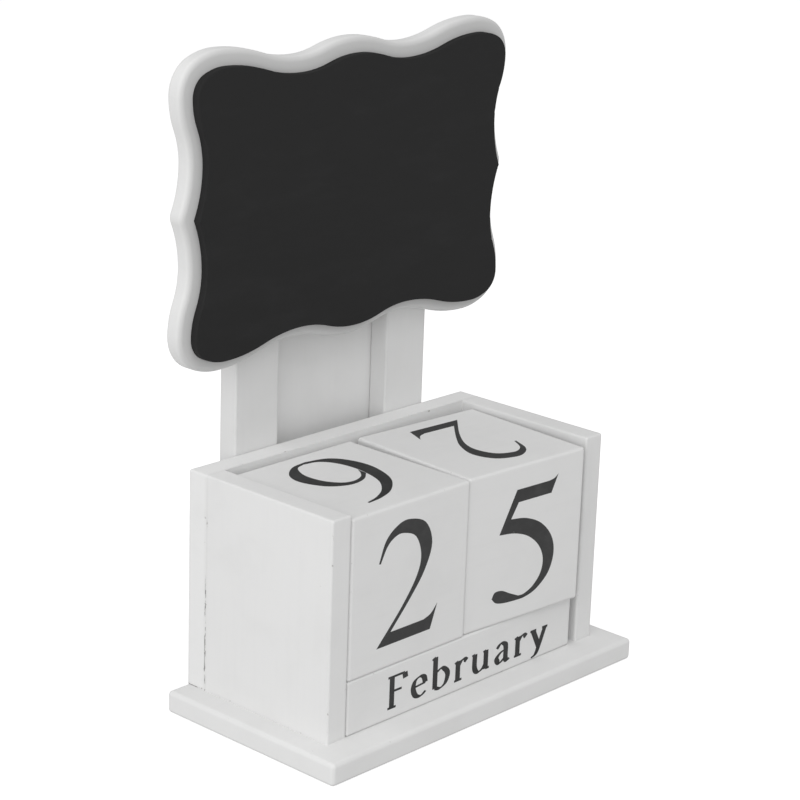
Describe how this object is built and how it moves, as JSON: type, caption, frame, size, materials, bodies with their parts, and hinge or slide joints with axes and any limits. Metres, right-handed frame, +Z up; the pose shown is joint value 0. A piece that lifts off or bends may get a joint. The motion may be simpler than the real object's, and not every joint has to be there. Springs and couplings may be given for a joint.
{
  "type": "perpetual desk calendar",
  "caption": "White painted wooden block calendar: an open tray holds day blocks and month bars, with a wavy chalk plaque on posts behind.",
  "frame": {"origin": "middle of the bounding box at the underside of the base board", "axes": "+Z up, the open front of the tray faces -Y, +X to the right seen from the front"},
  "size_m": [0.1374, 0.0804, 0.1976],
  "materials": {
    "painted_tray": "matt white paint",
    "painted_stand": "matt white paint",
    "painted_plaque": "matt white paint",
    "painted_block": "matt white paint",
    "painted_bar": "matt white paint",
    "chalk_black": "matt black chalkboard paint",
    "screw_steel": "bright zinc",
    "brad_steel": "plain bright"
  },
  "bodies": {
    "frame": {"base_board": "painted_tray", "left_side_panel": "painted_tray", "right_side_panel": "painted_tray", "back_panel": "painted_tray", "left_post": "painted_stand", "right_post": "painted_stand", "tie_board": "painted_stand", "plaque_board": "painted_plaque", "chalk_panel": "chalk_black", "base_screws": "screw_steel", "back_panel_brads": "brad_steel", "post_screws": "screw_steel", "plaque_screws": "screw_steel", "tie_board_brads": "brad_steel"},
    "left_block": {"left_day_block": "painted_block"},
    "right_block": {"right_day_block": "painted_block"},
    "front_bar": {"front_month_bar": "painted_bar"},
    "middle_bar": {"middle_month_bar": "painted_bar"},
    "rear_bar": {"rear_month_bar": "painted_bar"}
  },
  "joints": [
    {"name": "left_block_lift", "type": "slide", "parent": "frame", "child": "left_block", "axis": [0, 0, 1], "range_m": [0, 0.06]},
    {"name": "right_block_lift", "type": "slide", "parent": "frame", "child": "right_block", "axis": [0, 0, 1], "range_m": [0, 0.06]},
    {"name": "rear_bar_draw", "type": "slide", "parent": "frame", "child": "rear_bar", "axis": [0, -1, 0], "range_m": [0, 0.055]},
    {"name": "middle_bar_draw", "type": "slide", "parent": "rear_bar", "child": "middle_bar", "axis": [0, -1, 0], "range_m": [0, 0.038]},
    {"name": "front_bar_draw", "type": "slide", "parent": "middle_bar", "child": "front_bar", "axis": [0, -1, 0], "range_m": [0, 0.02]}
  ]
}
